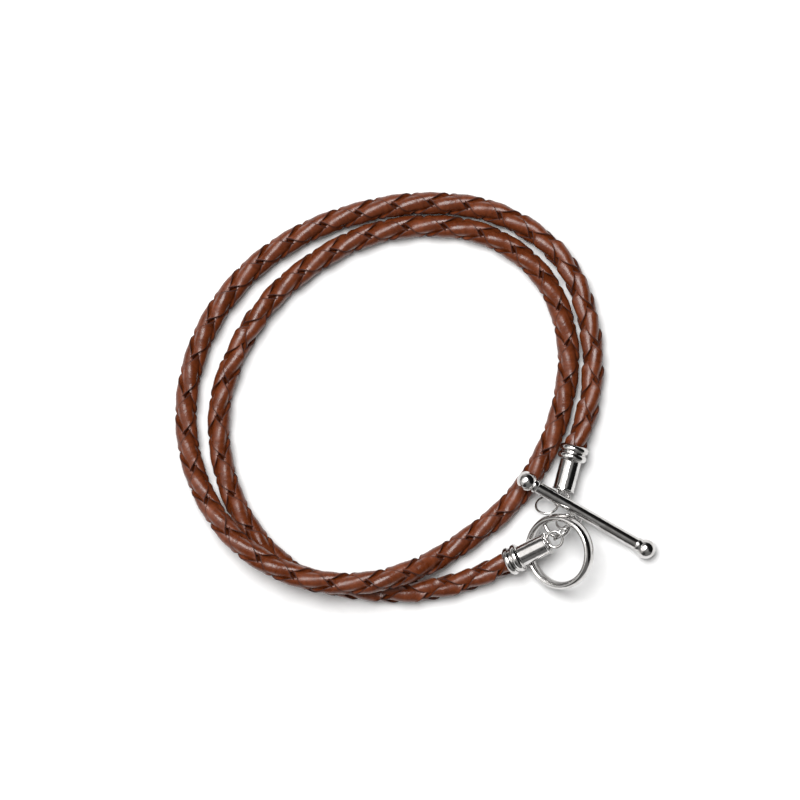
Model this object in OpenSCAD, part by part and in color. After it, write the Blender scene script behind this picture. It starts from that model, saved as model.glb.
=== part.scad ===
// Double-wrap bracelet: a round cord braided from four leather laces goes twice round the wrist
// and closes with a toggle clasp. It lies on a flat surface, z = 0, and its origin is the middle
// of the wrist opening. Units are millimetres.

/* [Cord] */
// Length of the cord in which a lace goes once round
braid_lead = 12.4; // [11.8:0.1:13.4]
// Cross-sections of a lace in that length
sections_per_lead = 10; // [8:1:10]
// Height of the cord's middle where the cord lies on the surface
cord_lie = 1.9; // [1.9:0.01:2]
// How far the first wrap is lifted where it crosses the second
cross_lift = 3.75; // [3.7:0.05:4.2]

/* [Laces] */
// Width of a lace
lace_w = 2.6; // [2.2:0.05:2.6]
// Thickness of a lace
lace_t = 0.8; // [0.6:0.05:0.8]
// Width of a lace's flat middle, as a share of its width
lace_flat = 0.45; // [0.35:0.05:0.45]
// Share of its width that a lace is squeezed by while it dives under its neighbour
lace_squeeze = 0.4; // [0.4:0.05:0.5]
// Distance from the cord's middle to a lace that runs inside
lace_inside = 0.45; // [0.45:0.01:0.47]
// Distance from the cord's middle to a lace that lies outside
lace_outside = 1.45; // [1.45:0.01:1.5]
// Curvature of a lace over the cord's round back, in 1/mm
lace_cup = 0.4; // [0.3:0.05:0.5]

/* [End caps] */
// Length of an end cap from its mouth to its closed end
cap_l = 7.7; // [7.4:0.1:8]
// Radius of the cap's plain tube
cap_tube_r = 1.75; // [1.65:0.05:1.75]
// Radius of the wire of the two bead rings at the mouth
cap_bead_r = 0.66; // [0.64:0.01:0.66]
// Radius over the two bead rings
cap_mouth_r = 2.4; // [2.35:0.05:2.4]
// Radius of the mouth that takes the cord
cap_bore_r = 2.02; // [2:0.01:2.04]
// Depth of that mouth
cap_bore_l = 2.3; // [2.2:0.05:2.35]
// Radius of the eye on the closed end, at its wire's middle
cap_eye_r = 1.3; // [1.25:0.01:1.32]
// Radius of the eye's wire
cap_eye_wire = 0.25; // [0.2:0.01:0.26]

/* [Toggle ring] */
// Radius of the ring at the middle of its metal
ring_r = 5.6; // [5.55:0.01:5.65]
// Thickness of the ring's metal across its face
ring_t = 1.3; // [1.2:0.05:1.35]
// Height of the ring's metal along its axis
ring_h = 2.3; // [2.2:0.05:2.35]
// Tilt of the ring, which leans on the cord's end
ring_tilt = 33; // [32.5:0.1:33.5]
// Radius of the arched eye on the ring, at its wire's middle
arch_r = 2.4; // [2.35:0.01:2.45]
// Radius of the arched eye's wire
arch_wire = 0.33; // [0.3:0.01:0.35]

/* [Toggle bar] */
// Radius of the bar's rod
rod_r = 0.98; // [0.9:0.01:1]
// Radius of the balls on its ends
ball_r = 1.6; // [1.5:0.01:1.6]
// Radius of the collars beside the balls
collar_r = 1.15; // [1.1:0.01:1.2]
// Length of a collar
collar_l = 0.8; // [0.6:0.1:1]
// Radius of the bar's eye, at its wire's middle
bar_eye_r = 0.95; // [0.93:0.01:0.97]
// Radius of that eye's wire
bar_eye_wire = 0.3; // [0.28:0.01:0.31]

/* [Jump rings] */
// Radius of the first jump ring, at its wire's middle
jump_1_r = 1.85; // [1.84:0.01:1.86]
// Radius of the other two jump rings, at their wire's middle
jump_r = 1.65; // [1.62:0.01:1.68]
// Radius of the jump rings' wire
jump_wire = 0.2; // [0.15:0.01:0.22]

/* [Hidden] */
leather = [0.49, 0.25, 0.17];
silver = [0.8, 0.8, 0.82];
$fn = 64;
hair = 0.01;

// The cord's route seen from above, from cap A counter-clockwise round the wrist twice to cap B.
// Columns: angle in degrees, radius in mm.
ANGLE = 0;
RADIUS = 1;
route = [
    [-17, 30.7], [-12, 30.8], [0, 32.2], [20, 34.6], [40, 36.7], [60, 35.9], [80, 33.6],
    [100, 31.9], [120, 31.6], [140, 32.1], [160, 32.9], [180, 33.7], [200, 34.1], [220, 33.7],
    [240, 32], [260, 29.5], [280, 26.9], [300, 25.2], [320, 25.2], [340, 26.1],
    [360, 27.9], [380, 30.6], [400, 32.4], [420, 31.9], [440, 29.8], [460, 27.9], [480, 26.5],
    [500, 26.3], [520, 26.8], [540, 28.2], [560, 29.4], [580, 30.8], [600, 31.7], [620, 30.6],
    [640, 30.8], [660, 31.5], [666, 31.95], [670, 32.4]
];
route_last = len(route) - 1;

// The first wrap climbs onto the second between these angles and comes down between these.
climb = [200, 228];
descent = [265, 295];

// How far the braid is turned about the cord's middle.
// Columns: distance along the cord in mm, turn in degrees.
braid_turn = [[0, 65], [16, 65], [34, 45], [50, 0], [280, 0], [296, -90], [324, -90], [346, -135],
              [371, -135]];
// Distance along the cord at which the first lace lies on top.
braid_start = 49.4;
// How far the hand-made braid has slipped along the cord from an even one.
// Columns: distance along the cord in mm, slip in mm.
braid_slip = [[0, 1.3], [16, 1.2], [26, 0.7], [46, 0.8], [56, 0], [92, -1], [116, -0.3],
              [135, -0.8], [158, -0.5], [182, -0.9], [204, -0.3], [248, -1.2], [281, -0.8],
              [310, -0.3], [335, 0], [354, 1.2], [371, 1.3]];

// Where the cord's two ends leave their caps: the middle of the mouth, and the way the cap points.
cap_a_mouth = [30, -6.6, 2.43];
cap_a_azimuth = 255;
cap_a_rise = 2;
cap_b_mouth = [18.9, -25.82, 3.05];
cap_b_azimuth = 27;
cap_b_rise = 16;
// Distance along the cord over which its first end comes down, and its last end climbs
end_a_ramp = 11;
end_b_ramp = 8.6;
// Length of cord that is held in a cap
cord_in_cap = 2.1;

// Interpolation of the route's radius between its rows, smooth through every row
function slope(i) =
    let (a = max(0, i - 1), b = min(route_last, i + 1))
    (route[b][RADIUS] - route[a][RADIUS]) / (route[b][ANGLE] - route[a][ANGLE]);
function row(a) = max([for (i = [0 : route_last - 1]) if (i == 0 || a >= route[i][ANGLE]) i]);
function blend(p0, m0, p1, m1, u) =
    ((2 * u - 3) * u * u + 1) * p0 + ((u - 2) * u + 1) * u * m0 +
    (3 - 2 * u) * u * u * p1 + (u - 1) * u * u * m1;
function radius(a) =
    let (i = row(a), h = route[i + 1][ANGLE] - route[i][ANGLE], u = (a - route[i][ANGLE]) / h)
    blend(route[i][RADIUS], slope(i) * h, route[i + 1][RADIUS], slope(i + 1) * h, u);
function flat(a) = radius(a) * [cos(a), sin(a)];

// Distance along the cord for every half degree of the route
route_step = 0.5;
travel = [
    for (a = route[0][ANGLE], s = 0; a <= route[route_last][ANGLE];
         s = s + norm(flat(a + route_step) - flat(a)), a = a + route_step) [s, a]
];
cord_l = travel[len(travel) - 1][0];
mouth_a = 2.6;
mouth_b = cord_l - 2.6;
cord_from = mouth_a - cord_in_cap;
cord_to = mouth_b + cord_in_cap;

// Height of the cord's middle at a distance along it
function ease(x) = let (c = min(1, max(0, x))) c * c * (3 - 2 * c);
function crossing(a) =
    cross_lift * (ease((a - climb[0]) / (climb[1] - climb[0]))
                  - ease((a - descent[0]) / (descent[1] - descent[0])));
function from_cap(u) =
    let (rise = cap_a_mouth[2] - cord_lie, grade = tan(cap_a_rise))
    u < 0 ? rise - grade * u :
    u < end_a_ramp ? blend(rise, -grade * end_a_ramp, 0, 0, u / end_a_ramp) : 0;
function to_cap(u) =
    let (rise = cap_b_mouth[2] - cord_lie)
    u < 0 ? 0 :
    u < end_b_ramp ? rise * pow(u / end_b_ramp, 2) : rise + tan(cap_b_rise) * (u - end_b_ramp);
function height(s) =
    cord_lie + crossing(lookup(s, travel)) + from_cap(s - mouth_a)
    + to_cap(s - mouth_b + end_b_ramp);
function middle(s) = let (p = flat(lookup(s, travel))) [p[0], p[1], height(s)];

// Outline of a lace in the cord's cross-section: x is outward from the wrist, y is up.
// Two laces wind one way on an upright oval, two the other way on a lying oval, so that each
// goes over one and under the next. Corners as shares of half the width and half the thickness.
lace_corners = [[-1, 0], [-lace_flat, 1], [lace_flat, 1], [1, 0], [lace_flat, -1], [-lace_flat, -1]];
// Turn of a lace about its own middle: it rests flat while on top, then tips over quickly
function tip(q) = q - sin(4 * q) * 180 / PI / 4;
function turned(v, c, s) = [v[0] * c - v[1] * s, v[0] * s + v[1] * c];
function lace_section(left, t) =
    let (
        q = left ? 90 - t : t,
        oval = [lace_inside * sin(q), lace_outside * cos(q)],
        wide = [cos(tip(q)), -sin(tip(q))],
        thick = [sin(tip(q)), cos(tip(q))],
        side = thick * oval < 0 ? -1 : 1,
        out = min(1, max(0, (norm(oval) - lace_inside) / (lace_outside - lace_inside))),
        bend = max(hair, lace_cup * out),
        half_w = lace_w / 2 * (1 - lace_squeeze * pow(sin(2 * t), 2)),
        half_t = lace_t / 2
    )
    [for (k = lace_corners)
        let (
            x = k[0] * half_w,
            y = side * k[1] * half_t,
            a = x * bend * 180 / PI,
            p = oval + wide * sin(a) * (1 / bend + y)
                + thick * side * (cos(a) * (1 / bend + y) - 1 / bend)
        )
        left ? turned(p, 0, 1) : p];

// One lace over the whole cord, as one closed solid swept through its cross-sections
module lace(left, phase) {
    count = ceil((cord_to - cord_from) / braid_lead * sections_per_lead);
    sides = len(lace_corners);
    points = [
        for (i = [0 : count])
            let (
                s = cord_from + (cord_to - cord_from) * i / count,
                step = 0.2,
                ahead = middle(min(s + step, cord_l)) - middle(max(s - step, 0)),
                along = ahead / norm(ahead),
                outward = cross(along, [0, 0, 1]) / norm(cross(along, [0, 0, 1])),
                up = cross(outward, along),
                turn = lookup(s, braid_turn),
                t = 360 * (s - lookup(s, braid_slip) - braid_start) / braid_lead + phase
            )
            for (p = lace_section(left, t))
                let (q = turned(p, cos(turn), sin(turn)))
                middle(s) + outward * q[0] + up * q[1]
    ];
    walls = [
        for (i = [0 : count - 1], j = [0 : sides - 1])
            let (a = i * sides, b = a + sides, k = (j + 1) % sides)
            each left ? [[a + j, b + j, a + k], [b + j, b + k, a + k]]
                      : [[a + j, b + j, b + k], [a + j, b + k, a + k]]
    ];
    first = [for (j = [0 : sides - 1]) j];
    last = [for (j = [sides - 1 : -1 : 0]) count * sides + j];
    polyhedron(points, concat([first], walls, [last]));
}

module wire_ring(r, wire) {
    rotate_extrude() translate([r, 0]) circle(wire);
}

// End cap along its own +Z from the mouth to the closed end: two bead rings round the mouth,
// a plain tube, a thin rim on its end, and a round-wire eye that lies flat
cap_wall = 0.45;
cap_sleeve_l = 2.2;
cap_sleeve_r = 2.2;
cap_rim_l = 0.3;
cap_rim_r = 1.85;
module end_cap(mouth, azimuth, rise) {
    bead_z = [cap_bead_r, 3 * cap_bead_r + hair];
    eye_z = cap_l + cap_eye_r + cap_eye_wire - cap_rim_l;
    translate(mouth) rotate([0, 0, azimuth]) rotate([0, 90 - rise, 0]) {
        difference() {
            union() {
                for (z = bead_z) translate([0, 0, z]) wire_ring(cap_mouth_r - cap_bead_r, cap_bead_r);
                cylinder(r = cap_sleeve_r, h = cap_sleeve_l);
                cylinder(r = cap_tube_r, h = cap_l);
                translate([0, 0, cap_l - cap_rim_l]) cylinder(r = cap_rim_r, h = cap_rim_l);
                translate([0, 0, eye_z]) rotate([90, 0, 0]) rotate([0, 90, 0])
                    wire_ring(cap_eye_r, cap_eye_wire);
            }
            translate([0, 0, -1]) cylinder(r = cap_bore_r, h = cap_bore_l + 1);
            cylinder(r = cap_tube_r - cap_wall, h = cap_l - 2 * cap_wall);
        }
    }
}

// Toggle ring: a heavy ring with flattened sides, tilted so that its low side rests on the
// surface, and an arched wire eye soldered on its rim
ring_middle = [27.36, -23.93];
ring_azimuth = 11;
arch_offset = 4.87;
arch_angle = 82;
ring_flat = ring_h - ring_t;
module toggle_ring_shape() {
    lift = ring_r * sin(ring_tilt) + ring_t / 2 + ring_flat / 2 * cos(ring_tilt);
    translate([ring_middle[0], ring_middle[1], lift])
        rotate([0, 0, ring_azimuth]) rotate([0, -ring_tilt, 0]) {
            rotate_extrude($fn = 96) {
                for (side = [-1, 1]) translate([ring_r, side * ring_flat / 2]) circle(ring_t / 2);
                translate([ring_r - ring_t / 2, -ring_flat / 2]) square([ring_t, ring_flat]);
            }
            difference() {
                rotate([0, 0, arch_angle]) translate([arch_offset, 0, 0]) wire_ring(arch_r, arch_wire);
                cylinder(r = ring_r, h = 4 * arch_wire, center = true);
            }
        }
}

// Toggle bar along its own +Z: a rod with a ball and a collar on each end, and a wire eye near
// its middle
ball_left = [22.01, -12.39, 5.36];
ball_right = [41.6, -23.62, 1.6];
bar_eye_share = 0.45;
bar_eye_offset = 1.85;
bar_eye_drop = 40;
module toggle_bar_shape() {
    way = ball_right - ball_left;
    bar_l = norm(way);
    collar_end = sqrt(pow(ball_r, 2) - pow(collar_r, 2)) + collar_l;
    translate(ball_left) rotate([0, 0, atan2(way[1], way[0])]) rotate([0, acos(way[2] / bar_l), 0]) {
        cylinder(r = rod_r, h = bar_l);
        for (end = [0, bar_l]) translate([0, 0, end]) sphere(ball_r);
        cylinder(r = collar_r, h = collar_end);
        translate([0, 0, bar_l - collar_end]) cylinder(r = collar_r, h = collar_end);
        translate([0, 0, bar_l * bar_eye_share]) rotate([0, 0, bar_eye_drop])
            translate([0, -bar_eye_offset, 0]) rotate([0, 90, 0]) wire_ring(bar_eye_r, bar_eye_wire);
    }
}

// A round-wire ring by its middle and by where its axis points
module jump_ring(p, r, azimuth, rise) {
    translate(p) rotate([0, 0, azimuth]) rotate([0, 90 - rise, 0]) wire_ring(r, jump_wire);
}

module strand_1() { color(leather) lace(false, 0); }
module strand_2() { color(leather) lace(false, 180); }
module strand_3() { color(leather) lace(true, 0); }
module strand_4() { color(leather) lace(true, 180); }
module end_cap_a() { color(silver) end_cap(cap_a_mouth, cap_a_azimuth, cap_a_rise); }
module end_cap_b() { color(silver) end_cap(cap_b_mouth, cap_b_azimuth, cap_b_rise); }
module jump_ring_1() { color(silver) jump_ring([25.4, -16.34, 2.97], jump_1_r, 284, -47); }
module jump_ring_2() { color(silver) jump_ring([27.68, -20.79, 4.84], jump_r, 315, -9); }
module jump_ring_3() { color(silver) jump_ring([28.54, -19.11, 2.88], jump_r, 282, -43); }
module toggle_ring() { color(silver) toggle_ring_shape(); }
module toggle_bar() { color(silver) toggle_bar_shape(); }

strand_1();
strand_2();
strand_3();
strand_4();
end_cap_a();
end_cap_b();
jump_ring_1();
jump_ring_2();
jump_ring_3();
toggle_ring();
toggle_bar();
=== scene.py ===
import math
import bpy
from mathutils import Matrix, Vector


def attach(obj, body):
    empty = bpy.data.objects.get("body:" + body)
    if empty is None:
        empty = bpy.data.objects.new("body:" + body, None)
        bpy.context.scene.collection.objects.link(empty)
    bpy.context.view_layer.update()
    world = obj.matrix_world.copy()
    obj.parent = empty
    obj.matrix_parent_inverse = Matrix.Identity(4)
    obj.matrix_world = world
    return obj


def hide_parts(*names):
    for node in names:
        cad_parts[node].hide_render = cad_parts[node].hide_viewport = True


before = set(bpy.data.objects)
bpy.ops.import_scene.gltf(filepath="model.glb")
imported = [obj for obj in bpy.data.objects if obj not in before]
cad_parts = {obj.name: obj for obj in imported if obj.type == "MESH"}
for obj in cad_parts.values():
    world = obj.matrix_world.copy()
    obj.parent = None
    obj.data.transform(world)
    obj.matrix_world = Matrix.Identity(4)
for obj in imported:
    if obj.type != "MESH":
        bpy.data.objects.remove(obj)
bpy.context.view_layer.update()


# The view. The bracelet lies on a table and is looked at from straight above, from far enough
# that the cord shows no perspective. One picture width is 131 mm of table.
MM = 0.001
view_width = 131.1 * MM
view_middle = (1.31 * MM, 0.82 * MM)
view_height = 0.8
sensor_width = 36

camera_data = bpy.data.cameras.new("camera")
camera_data.sensor_width = sensor_width
camera_data.lens = sensor_width * view_height / view_width
camera_data.clip_start = 0.01
camera_data.clip_end = 10
camera = bpy.data.objects.new("camera", camera_data)
camera.location = (view_middle[0], view_middle[1], view_height + 2 * MM)
bpy.context.scene.collection.objects.link(camera)
bpy.context.scene.camera = camera
bpy.context.scene.view_settings.view_transform = "Standard"


# The table top: a wide sheet of smooth white paper that runs past the picture on every side.
# It is part of the studio and not of the bracelet.
def link(tree, source, output, target, socket):
    tree.links.new(source.outputs[output], target.inputs[socket])


def new_material(name):
    material = bpy.data.materials.new(name)
    material.use_nodes = True
    tree = material.node_tree
    return material, tree, tree.nodes["Principled BSDF"]


def object_noise(tree, scale, detail):
    place = tree.nodes.new("ShaderNodeTexCoord")
    noise = tree.nodes.new("ShaderNodeTexNoise")
    noise.inputs["Scale"].default_value = scale
    noise.inputs["Detail"].default_value = detail
    link(tree, place, "Object", noise, "Vector")
    return noise


def ramp(tree, source, output, stops):
    node = tree.nodes.new("ShaderNodeValToRGB")
    while len(node.color_ramp.elements) < len(stops):
        node.color_ramp.elements.new(0.5)
    for element, (place, colour) in zip(node.color_ramp.elements, stops):
        element.position = place
        element.color = (*colour, 1)
    link(tree, source, output, node, "Fac")
    return node


def bumped(tree, shader, height, output, strength, depth, below=None):
    bump = tree.nodes.new("ShaderNodeBump")
    bump.inputs["Strength"].default_value = strength
    bump.inputs["Distance"].default_value = depth
    link(tree, height, output, bump, "Height")
    if below:
        link(tree, below, "Normal", bump, "Normal")
    link(tree, bump, "Normal", shader, "Normal")
    return bump


def deselect_all():
    if bpy.context.mode != "OBJECT":
        bpy.ops.object.mode_set(mode="OBJECT")
    bpy.ops.object.select_all(action="DESELECT")


table_size = 3
table_drop = 0.03 * MM
paper_fibre_scale = 600

deselect_all()
bpy.ops.mesh.primitive_plane_add(size=table_size, location=(0, 0, -table_drop))
table = bpy.context.object
table.name = "table"
paper, tree, shader = new_material("white_paper")
fibres = object_noise(tree, paper_fibre_scale, 6)
tint = ramp(tree, fibres, "Fac", [(0.3, (0.83, 0.83, 0.83)), (0.7, (0.86, 0.86, 0.86))])
link(tree, tint, "Color", shader, "Base Color")
shader.inputs["Roughness"].default_value = 0.9
shader.inputs["Specular IOR Level"].default_value = 0.1
table.data.materials.append(paper)


# The studio light. A large soft lamp stands above the far side of the table. The room round it
# is dim, with a white ceiling and a pale wall at the left and dark walls at the right and in
# front, which put the white and black bands on the polished metal.
def towards(azimuth, off_zenith):
    a, p = math.radians(azimuth), math.radians(off_zenith)
    return Vector((math.sin(p) * math.cos(a), math.sin(p) * math.sin(a), math.cos(p)))


world = bpy.data.worlds.new("studio")
world.use_nodes = True
bpy.context.scene.world = world
tree = world.node_tree
background = tree.nodes["Background"]
direction = tree.nodes.new("ShaderNodeTexCoord")
room_brightness = 0.2
darkest_wall = 0.01
# Columns: azimuth and angle off the zenith of the surface's middle, its half width, the width
# of its soft edge, all in degrees, and how much brighter it is than the room.
room_surfaces = [
    (165, 33, 28, 10, 1.3), (200, 68, 24, 14, 0.5), (330, 14, 20, 14, 0.16), (110, 76, 12, 12, 0.2),
    (241, 62, 20, 12, -0.16), (12, 66, 42, 14, -0.2), (60, 60, 26, 12, -0.2), (145, 82, 12, 10, -0.12),
]
level = None
for azimuth, off_zenith, half_width, soft_edge, gain in room_surfaces:
    nearness = tree.nodes.new("ShaderNodeVectorMath")
    nearness.operation = "DOT_PRODUCT"
    nearness.inputs[1].default_value = towards(azimuth, off_zenith)
    link(tree, direction, "Generated", nearness, 0)
    patch = tree.nodes.new("ShaderNodeMapRange")
    patch.interpolation_type = "SMOOTHSTEP"
    patch.inputs["From Min"].default_value = math.cos(math.radians(half_width + soft_edge / 2))
    patch.inputs["From Max"].default_value = math.cos(math.radians(half_width - soft_edge / 2))
    patch.inputs["To Max"].default_value = gain
    link(tree, nearness, "Value", patch, "Value")
    total = tree.nodes.new("ShaderNodeMath")
    total.operation = "ADD"
    link(tree, patch, "Result", total, 0)
    if level:
        link(tree, level, "Value", total, 1)
    else:
        total.inputs[1].default_value = room_brightness
    level = total
no_darker = tree.nodes.new("ShaderNodeMath")
no_darker.operation = "MAXIMUM"
no_darker.inputs[1].default_value = darkest_wall
link(tree, level, "Value", no_darker, 0)
link(tree, no_darker, "Value", background, "Strength")
background.inputs["Color"].default_value = (1, 0.99, 0.98, 1)

lamp_azimuth = 115
lamp_off_zenith = 22
lamp_distance = 1.0
lamp_size = 0.66
lamp_watts = 12
lamp_data = bpy.data.lights.new("key_lamp", "AREA")
lamp_data.shape = "DISK"
lamp_data.size = lamp_size
lamp_data.energy = lamp_watts
lamp = bpy.data.objects.new("key_lamp", lamp_data)
lamp.location = towards(lamp_azimuth, lamp_off_zenith) * lamp_distance
lamp.rotation_euler = (-lamp.location).to_track_quat("-Z", "Y").to_euler()
bpy.context.scene.collection.objects.link(lamp)


# The cord: four flat leather laces braided round one another into a round cord of 3.6 mm. It
# leaves the upper end cap, goes twice round the wrist with the first wrap lying over the second
# at the lower left, and ends in the lower cap.
# Columns of the route: angle in degrees, distance from the wrist's middle in mm.
route = [
    (-17, 30.7), (-12, 30.8), (0, 32.2), (20, 34.6), (40, 36.7), (60, 35.9), (80, 33.6),
    (100, 31.9), (120, 31.6), (140, 32.1), (160, 32.9), (180, 33.7), (200, 34.1), (220, 33.7),
    (240, 32), (260, 29.5), (280, 26.9), (300, 25.2), (320, 25.2), (340, 26.1),
    (360, 27.9), (380, 30.6), (400, 32.4), (420, 31.9), (440, 29.8), (460, 27.9), (480, 26.5),
    (500, 26.3), (520, 26.8), (540, 28.2), (560, 29.4), (580, 30.8), (600, 31.7), (620, 30.6),
    (640, 30.8), (660, 31.5), (666, 31.95), (670, 32.4),
]
climb = (200, 228)
descent = (265, 295)
cross_lift = 3.75
cord_lie = 1.9
cap_a_mouth = (30, -6.6, 2.43)
cap_a_azimuth = 255
cap_a_rise = 2
cap_b_mouth = (18.9, -25.82, 3.05)
cap_b_azimuth = 27
cap_b_rise = 16
end_a_ramp = 11
end_b_ramp = 8.6
mouth_depth = 2.6
cord_in_cap = 2.1


def blend(p0, m0, p1, m1, u):
    return (((2 * u - 3) * u * u + 1) * p0 + ((u - 2) * u + 1) * u * m0
            + (3 - 2 * u) * u * u * p1 + (u - 1) * u * u * m1)


def route_slope(i):
    a = route[max(0, i - 1)]
    b = route[min(len(route) - 1, i + 1)]
    return (b[1] - a[1]) / (b[0] - a[0])


def flat_point(angle):
    i = 0
    while i < len(route) - 2 and angle >= route[i + 1][0]:
        i += 1
    gap = route[i + 1][0] - route[i][0]
    u = (angle - route[i][0]) / gap
    r = blend(route[i][1], route_slope(i) * gap, route[i + 1][1], route_slope(i + 1) * gap, u)
    return Vector((r * math.cos(math.radians(angle)), r * math.sin(math.radians(angle)), 0))


route_step = 0.5
travel = [(0.0, route[0][0])]
while travel[-1][1] < route[-1][0]:
    done, angle = travel[-1]
    hop = (flat_point(angle + route_step) - flat_point(angle)).length
    travel.append((done + hop, angle + route_step))
cord_length = travel[-1][0]
cord_from = mouth_depth - cord_in_cap
cord_to = cord_length - mouth_depth + cord_in_cap


def between(table, x):
    low, high = 0, len(table) - 1
    x = min(max(x, table[0][0]), table[-1][0])
    while high - low > 1:
        half = (low + high) // 2
        if table[half][0] <= x:
            low = half
        else:
            high = half
    (x0, y0), (x1, y1) = table[low], table[high]
    return y0 + (y1 - y0) * (x - x0) / (x1 - x0)


def ease(x):
    x = min(1, max(0, x))
    return x * x * (3 - 2 * x)


def cord_height(s):
    angle = between(travel, s)
    up = ease((angle - climb[0]) / (climb[1] - climb[0]))
    down = ease((angle - descent[0]) / (descent[1] - descent[0]))
    z = cord_lie + cross_lift * (up - down)
    rise, grade, u = cap_a_mouth[2] - cord_lie, math.tan(math.radians(cap_a_rise)), s - mouth_depth
    if u < 0:
        z += rise - grade * u
    elif u < end_a_ramp:
        z += blend(rise, -grade * end_a_ramp, 0, 0, u / end_a_ramp)
    rise, u = cap_b_mouth[2] - cord_lie, s - (cord_length - mouth_depth - end_b_ramp)
    if u > end_b_ramp:
        z += rise + math.tan(math.radians(cap_b_rise)) * (u - end_b_ramp)
    elif u > 0:
        z += rise * (u / end_b_ramp) ** 2
    return z


def cord_middle(s):
    place = flat_point(between(travel, s))
    place.z = cord_height(s)
    return place


# One lace: a flat strip of smooth tanned leather with rounded edges. It is woven from a flat
# grid whose short side is wrapped round the lace's section and whose long side follows the cord.
# Two laces wind one way on an upright oval and two the other way on a lying oval, so each goes
# over one and under the next.
# Columns of both tables: distance along the cord in mm, and the braid's roll in degrees or its
# shift along the cord in mm.
braid_lead = 12.4
braid_start = 49.4
braid_turn = [(0, 65), (16, 65), (34, 45), (50, 0), (280, 0), (296, -90), (324, -90), (346, -135),
              (371, -135)]
braid_slip = [(0, 1.3), (16, 1.2), (26, 0.7), (46, 0.8), (56, 0), (92, -1), (116, -0.3),
              (135, -0.8), (158, -0.5), (182, -0.9), (204, -0.3), (248, -1.2), (281, -0.8),
              (310, -0.3), (335, 0), (354, 1.2), (371, 1.3)]
lace_width = 3.0
lace_thickness = 1.05
lace_inside = 0.45
lace_outside = 1.33
lace_cup = 0.8
lace_edge = 2.05
lace_thinning = 0.45
lace_sides = 24
lace_rows = 1400
heading_span = 0.2
weld_distance = 0.001 * MM


def rounded(x):
    return math.copysign(abs(x) ** (2 / lace_edge), x)


def lace_place(left, t, around):
    q = math.pi / 2 - t if left else t
    oval = Vector((lace_inside * math.sin(q), lace_outside * math.cos(q)))
    wide = Vector((math.cos(q), -math.sin(q)))
    thick = Vector((math.sin(q), math.cos(q)))
    out = min(1, max(0, (oval.length - lace_inside) / (lace_outside - lace_inside)))
    bend = max(0.01, lace_cup * out)
    x = rounded(math.cos(around))
    y = rounded(math.sin(around)) * lace_thickness / 2 * (1 - lace_thinning * x * x)
    turn = x * lace_width / 2 * bend
    place = (oval + wide * math.sin(turn) * (1 / bend + y)
             + thick * (math.cos(turn) * (1 / bend + y) - 1 / bend))
    return Vector((-place.y, place.x)) if left else place


def weave_lace(name, left, phase):
    deselect_all()
    bpy.ops.mesh.primitive_grid_add(x_subdivisions=lace_sides, y_subdivisions=lace_rows, size=1)
    lace = bpy.context.object
    lace.name = name
    rows = {}
    for vertex in lace.data.vertices:
        rows.setdefault(round((vertex.co.y + 0.5) * lace_rows), []).append(vertex)
    for row, vertices in rows.items():
        s = cord_from + (cord_to - cord_from) * row / lace_rows
        ahead = cord_middle(min(s + heading_span, cord_length))
        behind = cord_middle(max(s - heading_span, 0))
        along = (ahead - behind).normalized()
        outward = along.cross(Vector((0, 0, 1))).normalized()
        up = outward.cross(along)
        roll = math.radians(between(braid_turn, s))
        t = 2 * math.pi * (s - between(braid_slip, s) - braid_start) / braid_lead + phase
        middle = cord_middle(s)
        for vertex in vertices:
            p = lace_place(left, t, 2 * math.pi * (vertex.co.x + 0.5))
            x = p.x * math.cos(roll) - p.y * math.sin(roll)
            y = p.x * math.sin(roll) + p.y * math.cos(roll)
            vertex.co = (middle + outward * x + up * y) * MM
    bpy.ops.object.mode_set(mode="EDIT")
    bpy.ops.mesh.select_all(action="SELECT")
    bpy.ops.mesh.remove_doubles(threshold=weld_distance)
    bpy.ops.mesh.fill_holes(sides=0)
    bpy.ops.mesh.normals_make_consistent(inside=False)
    bpy.ops.object.mode_set(mode="OBJECT")
    bpy.ops.object.shade_smooth()
    return lace


def calculate(tree, operation, first, output, second, second_output=None):
    node = tree.nodes.new("ShaderNodeMath")
    node.operation = operation
    link(tree, first, output, node, 0)
    if second_output:
        link(tree, second, second_output, node, 1)
    elif second is not None:
        node.inputs[1].default_value = second
    return node


# Tanned leather: warm red-brown with paler and darker blotches along the strip, rougher along its two
# cut edges, and with a soft polish broken by fine pores. The cut edges are also darkened in the base
# colour: painted shade, so the creases where the laces meet read dark.
blotch_scale = 350
fibre_scale = 1.6
fibre_stretch = (6, 400, 1)
fibre_depth = 0.12 * MM
pore_scale = 3400
pore_depth = 0.06 * MM

leather, tree, shader = new_material("tanned_leather")
place = tree.nodes.new("ShaderNodeUVMap")
place.uv_map = "UVMap"
across = tree.nodes.new("ShaderNodeSeparateXYZ")
link(tree, place, "UV", across, "Vector")
turn = calculate(tree, "MULTIPLY", across, "X", 2 * math.pi)
side = calculate(tree, "COSINE", turn, "Value", None)
edge = calculate(tree, "ABSOLUTE", side, "Value", None)
stretch = tree.nodes.new("ShaderNodeMapping")
stretch.inputs["Scale"].default_value = fibre_stretch
link(tree, place, "UV", stretch, "Vector")
blotches = object_noise(tree, blotch_scale, 3)
fibre = tree.nodes.new("ShaderNodeTexNoise")
fibre.inputs["Scale"].default_value = fibre_scale
fibre.inputs["Detail"].default_value = 5
link(tree, stretch, "Vector", fibre, "Vector")
tone = calculate(tree, "ADD", blotches, "Fac", fibre, "Fac")
halved = calculate(tree, "MULTIPLY", tone, "Value", 0.5)
browns = ramp(tree, halved, "Value", [(0.32, (0.072, 0.0135, 0.0025)), (0.5, (0.112, 0.0235, 0.0055)),
                                      (0.68, (0.16, 0.037, 0.0105))])
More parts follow.
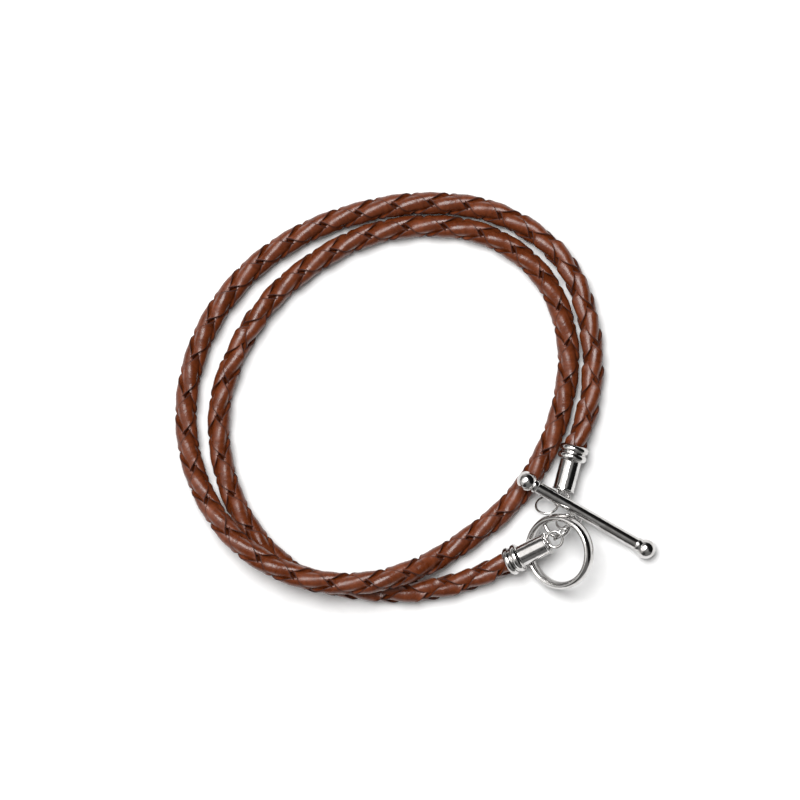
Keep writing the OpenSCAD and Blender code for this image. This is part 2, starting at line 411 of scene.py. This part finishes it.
# Painted shade: the base colour is darkened along the laces' cut edges so the creases where they meet
# look dark.
painted_crease_shade = ramp(tree, edge, "Value", [(0.88, (1, 1, 1)), (0.98, (0.3, 0.2, 0.15))])
# Multiplies the leather browns by the painted crease shade.
browns_with_painted_shade = tree.nodes.new("ShaderNodeMix")
browns_with_painted_shade.data_type = "RGBA"
browns_with_painted_shade.blend_type = "MULTIPLY"
browns_with_painted_shade.inputs["Factor"].default_value = 1
tree.links.new(browns.outputs["Color"], browns_with_painted_shade.inputs[6])
tree.links.new(painted_crease_shade.outputs["Color"], browns_with_painted_shade.inputs[7])
tree.links.new(browns_with_painted_shade.outputs[2], shader.inputs["Base Color"])
polish = ramp(tree, blotches, "Fac", [(0.35, (0.22, 0.22, 0.22)), (0.65, (0.38, 0.38, 0.38))])
raw = ramp(tree, edge, "Value", [(0.88, (0, 0, 0)), (0.96, (0.5, 0.5, 0.5))])
roughness = calculate(tree, "ADD", polish, "Color", raw, "Color")
link(tree, roughness, "Value", shader, "Roughness")
shader.inputs["Specular IOR Level"].default_value = 0.42
shader.inputs["Coat Weight"].default_value = 0.05
shader.inputs["Coat Roughness"].default_value = 0.2
pores = object_noise(tree, pore_scale, 3)
grain = bumped(tree, shader, pores, "Fac", 0.7, pore_depth)
bumped(tree, shader, fibre, "Fac", 0.4, fibre_depth, below=grain)

laces = [("leather_lace_1", "strand_1", False, 0), ("leather_lace_2", "strand_2", False, math.pi),
         ("leather_lace_3", "strand_3", True, 0), ("leather_lace_4", "strand_4", True, math.pi)]
for name, node, left, phase in laces:
    lace = weave_lace(name, left, phase)
    lace.data.materials.append(leather)
    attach(lace, "root")
    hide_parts(node)


# End caps: one on each end of the cord. A short silver tube is turned with two bead rings round
# its mouth, which grips the glued cord, and a thin rim on its closed end, where a round-wire eye
# is soldered on, lying flat.
cap_length = 7.7
cap_tube = 1.75
cap_bead = 0.66
cap_mouth = 2.4
cap_groove = 2.1
cap_bore = 2.02
cap_bore_depth = 2.3
cap_rim = 1.85
cap_rim_length = 0.3
cap_eye = 1.3
cap_eye_wire = 0.25
cap_core = 0.3
solder_radius = 0.42
hold = 0.2
sharp_edge = math.radians(40)
tarnish_scale = 700
ripple_scale = 1000
ripple_depth = 0.12 * MM

silver, tree, shader = new_material("polished_silver")
shader.inputs["Metallic"].default_value = 1
clouds = object_noise(tree, tarnish_scale, 4)
tarnish = ramp(tree, clouds, "Fac", [(0.3, (0.5, 0.485, 0.47)), (0.6, (0.64, 0.63, 0.62))])
link(tree, tarnish, "Color", shader, "Base Color")
gloss = ramp(tree, clouds, "Fac", [(0.35, (0.16, 0.16, 0.16)), (0.65, (0.07, 0.07, 0.07))])
link(tree, gloss, "Color", shader, "Roughness")
ripples = object_noise(tree, ripple_scale, 3)
bumped(tree, shader, ripples, "Fac", 0.25, ripple_depth)


def arc_rows(z, r, radius, start, end, steps):
    angles = [math.radians(start + (end - start) * i / steps) for i in range(steps + 1)]
    return [(z - radius * math.cos(a), r + radius * math.sin(a)) for a in angles]


def turn_on_lathe(name, profile, sides):
    deselect_all()
    height, radius = profile[0]
    bpy.ops.mesh.primitive_circle_add(vertices=sides, radius=radius * MM,
                                      location=(0, 0, height * MM))
    piece = bpy.context.object
    piece.name = name
    bpy.ops.object.mode_set(mode="EDIT")
    bpy.ops.mesh.select_all(action="SELECT")
    for (z0, r0), (z1, r1) in zip(profile, profile[1:]):
        bpy.ops.mesh.extrude_region_move(TRANSFORM_OT_translate={"value": (0, 0, (z1 - z0) * MM)})
        bpy.ops.transform.resize(value=(r1 / r0, r1 / r0, 1), center_override=(0, 0, z1 * MM))
    bpy.ops.mesh.select_all(action="SELECT")
    bpy.ops.mesh.fill_holes(sides=0)
    bpy.ops.mesh.select_all(action="SELECT")
    bpy.ops.mesh.normals_make_consistent(inside=False)
    bpy.ops.object.mode_set(mode="OBJECT")
    bpy.ops.object.shade_smooth_by_angle(angle=sharp_edge)
    return piece


def bend_wire(name, radius, wire, sweep, steps, sides):
    deselect_all()
    bpy.ops.mesh.primitive_circle_add(vertices=sides, radius=wire * MM,
                                      location=(radius * MM, 0, 0), rotation=(math.pi / 2, 0, 0))
    piece = bpy.context.object
    piece.name = name
    bpy.ops.object.transform_apply(location=True, rotation=True, scale=True)
    bpy.ops.object.mode_set(mode="EDIT")
    bpy.ops.mesh.select_all(action="SELECT")
    bpy.ops.mesh.spin(steps=steps, angle=math.radians(sweep), center=(0, 0, 0), axis=(0, 0, 1))
    bpy.ops.mesh.select_all(action="SELECT")
    bpy.ops.mesh.remove_doubles(threshold=weld_distance)
    if sweep < 360:
        bpy.ops.mesh.fill_holes(sides=0)
        bpy.ops.mesh.select_all(action="SELECT")
    bpy.ops.mesh.normals_make_consistent(inside=False)
    bpy.ops.object.mode_set(mode="OBJECT")
    bpy.ops.object.shade_smooth_by_angle(angle=sharp_edge)
    return piece


def put(piece, matrix):
    deselect_all()
    piece.select_set(True)
    bpy.context.view_layer.objects.active = piece
    piece.matrix_world = matrix @ piece.matrix_world
    bpy.ops.object.transform_apply(location=True, rotation=True, scale=True)


def moved(x, y, z):
    return Matrix.Translation((x * MM, y * MM, z * MM))


def spun(degrees, axis):
    return Matrix.Rotation(math.radians(degrees), 4, axis)


def solder(main, *others):
    deselect_all()
    for other in others:
        other.select_set(True)
    main.select_set(True)
    bpy.context.view_layer.objects.active = main
    bpy.ops.object.join()
    return main


def finish_metal(piece, node):
    piece.data.materials.clear()
    piece.data.materials.append(silver)
    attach(piece, "root")
    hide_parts(node)


def end_cap(name, mouth, azimuth, rise):
    bead_r = cap_mouth - cap_bead
    groove = math.degrees(math.asin((cap_groove - bead_r) / cap_bead))
    lip = math.degrees(math.asin((cap_bore - bead_r) / cap_bead))
    foot = 180 - math.degrees(math.asin((cap_tube + 0.12 - bead_r) / cap_bead))
    profile = [(cap_bore_depth, cap_core), (cap_bore_depth, cap_bore - 0.1)]
    profile += [(cap_bore_depth - 0.1, cap_bore)]
    profile += arc_rows(cap_bead, bead_r, cap_bead, lip, 180 - groove, 14)
    profile += arc_rows(3 * cap_bead, bead_r, cap_bead, groove, foot, 14)
    tube_start = profile[-1][0] + 0.04
    profile += [(tube_start, cap_tube + 0.03), (tube_start + 0.08, cap_tube)]
    rim_start = cap_length - cap_rim_length
    profile += [(tube_start + hold, cap_tube), (rim_start - hold, cap_tube)]
    profile += [(rim_start - 0.06, cap_tube), (rim_start, cap_tube + 0.02)]
    profile += [(rim_start + 0.02, cap_rim - 0.04), (rim_start + 0.08, cap_rim)]
    profile += [(cap_length - 0.1, cap_rim), (cap_length - 0.03, cap_rim - 0.04)]
    profile += [(cap_length, cap_rim - 0.12), (cap_length, 3 * cap_core), (cap_length, cap_core)]
    cap = turn_on_lathe(name, profile, 72)
    eye_z = cap_length + cap_eye + cap_eye_wire - cap_rim_length
    eye = bend_wire(name + "_eye", cap_eye, cap_eye_wire, 360, 56, 18)
    put(eye, moved(0, 0, eye_z) @ spun(90, "Y"))
    deselect_all()
    bpy.ops.mesh.primitive_uv_sphere_add(segments=24, ring_count=12, radius=solder_radius * MM,
                                         location=(0, 0, cap_length * MM))
    joint = bpy.context.object
    joint.scale = (0.75, 1.25, 0.6)
    put(joint, Matrix.Identity(4))
    bpy.ops.object.shade_smooth()
    solder(cap, eye, joint)
    put(cap, moved(*mouth) @ spun(azimuth, "Z") @ spun(90 - rise, "Y"))
    return cap


cap_a = end_cap("end_cap_upper", cap_a_mouth, cap_a_azimuth, cap_a_rise)
finish_metal(cap_a, "end_cap_a")
cap_b = end_cap("end_cap_lower", cap_b_mouth, cap_b_azimuth, cap_b_rise)
finish_metal(cap_b, "end_cap_b")


# The toggle ring: a heavy silver ring cast with an oval section, higher than it is thick. A low
# arch of round wire is soldered on its rim and takes the jump ring of the upper cap. The ring
# leans on the lower cap, so its left side rests on the table and its right side stands up.
ring_radius = 5.6
ring_thickness = 1.3
ring_height = 2.3
ring_tilt = 33
ring_azimuth = 11
ring_middle = (27.36, -23.93)
arch_radius = 2.4
arch_wire = 0.33
arch_offset = 4.87
arch_angle = 82
ring_flat = ring_height - ring_thickness
ring_lift = (ring_radius * math.sin(math.radians(ring_tilt)) + ring_thickness / 2
             + ring_flat / 2 * math.cos(math.radians(ring_tilt)))

deselect_all()
section_sides = 36
bpy.ops.mesh.primitive_circle_add(vertices=section_sides, radius=ring_thickness / 2 * MM,
                                  location=(ring_radius * MM, 0, 0),
                                  rotation=(math.pi / 2, math.pi / section_sides, 0))
toggle_ring = bpy.context.object
toggle_ring.name = "toggle_ring_cast"
bpy.ops.object.transform_apply(location=True, rotation=True, scale=True)
for vertex in toggle_ring.data.vertices:
    vertex.co.z *= ring_height / ring_thickness
bpy.ops.object.mode_set(mode="EDIT")
bpy.ops.mesh.select_all(action="SELECT")
bpy.ops.mesh.spin(steps=144, angle=2 * math.pi, center=(0, 0, 0), axis=(0, 0, 1))
bpy.ops.mesh.select_all(action="SELECT")
bpy.ops.mesh.remove_doubles(threshold=weld_distance)
bpy.ops.mesh.normals_make_consistent(inside=False)
bpy.ops.object.mode_set(mode="OBJECT")
bpy.ops.object.shade_smooth()

arch_sweep = 2 * math.degrees(math.acos((ring_radius ** 2 - arch_offset ** 2 - arch_radius ** 2)
                                        / (2 * arch_offset * arch_radius))) + 12
arch = bend_wire("arch", arch_radius, arch_wire, arch_sweep, 40, 18)
put(arch, spun(arch_angle, "Z") @ moved(arch_offset, 0, 0) @ spun(-arch_sweep / 2, "Z"))
solder(toggle_ring, arch)
put(toggle_ring, moved(*ring_middle, ring_lift) @ spun(ring_azimuth, "Z") @ spun(-ring_tilt, "Y"))
finish_metal(toggle_ring, "toggle_ring")


# The toggle bar: a turned silver rod with a ball and a collar on each end. A small wire eye is
# soldered near its middle. One ball rests on the cord and the other on the table.
ball_left = Vector((22.01, -12.39, 5.36))
ball_right = Vector((41.6, -23.62, 1.6))
rod_radius = 0.98
ball_radius = 1.6
collar_radius = 1.15
collar_length = 0.8
bar_eye = 0.95
bar_eye_wire = 0.3
bar_eye_share = 0.45
bar_eye_offset = 1.85
bar_eye_drop = 40

bar_way = ball_right - ball_left
bar_length = bar_way.length
neck = math.degrees(math.asin(collar_radius / ball_radius))
ball_end = math.sqrt(ball_radius ** 2 - collar_radius ** 2)
collar_end = ball_end + collar_length
half_bar = arc_rows(0, 0, ball_radius, 2, 180 - neck, 26)
half_bar += [(ball_end + 0.03, collar_radius - 0.05), (ball_end + 0.12, collar_radius)]
half_bar += [(collar_end - 0.12, collar_radius), (collar_end - 0.03, collar_radius - 0.06)]
half_bar += [(collar_end, rod_radius + 0.05), (collar_end + 0.06, rod_radius)]
half_bar += [(collar_end + hold, rod_radius)]
bar_profile = half_bar + [(bar_length / 2, rod_radius)]
bar_profile += [(bar_length - z, r) for z, r in reversed(half_bar)]
toggle_bar = turn_on_lathe("toggle_bar_turned", bar_profile, 48)
put(toggle_bar, spun(90, "Y"))
eye = bend_wire("bar_eye", bar_eye, bar_eye_wire, 360, 48, 18)
put(eye, moved(bar_length * bar_eye_share, 0, 0) @ spun(bar_eye_drop, "X")
    @ moved(0, -bar_eye_offset, 0))
solder(toggle_bar, eye)
bar_azimuth = math.degrees(math.atan2(bar_way.y, bar_way.x))
bar_rise = math.degrees(math.asin(bar_way.z / bar_length))
put(toggle_bar, moved(*ball_left) @ spun(bar_azimuth, "Z") @ spun(-bar_rise, "Y"))
finish_metal(toggle_bar, "toggle_bar")


# The jump rings: round silver wire bent to a circle and closed end to end, so each shows its
# butt joint. The first joins the upper cap to the toggle ring; the other two hang in a row
# between the lower cap and the toggle bar.
jump_wire = 0.2
jump_cut = 2
jump_joint = 140
jump_rings = [
    ("jump_ring_upper", "jump_ring_1", (25.4, -16.34, 2.97), 1.85, 284, -47),
    ("jump_ring_cap", "jump_ring_2", (27.68, -20.79, 4.84), 1.65, 315, -9),
    ("jump_ring_bar", "jump_ring_3", (28.54, -19.11, 2.88), 1.65, 282, -43),
]
for name, node, middle, radius, azimuth, rise in jump_rings:
    jump_ring = bend_wire(name, radius, jump_wire, 360 - jump_cut, 56, 14)
    put(jump_ring, moved(*middle) @ spun(azimuth, "Z") @ spun(90 - rise, "Y") @ spun(jump_joint, "Z"))
    finish_metal(jump_ring, node)
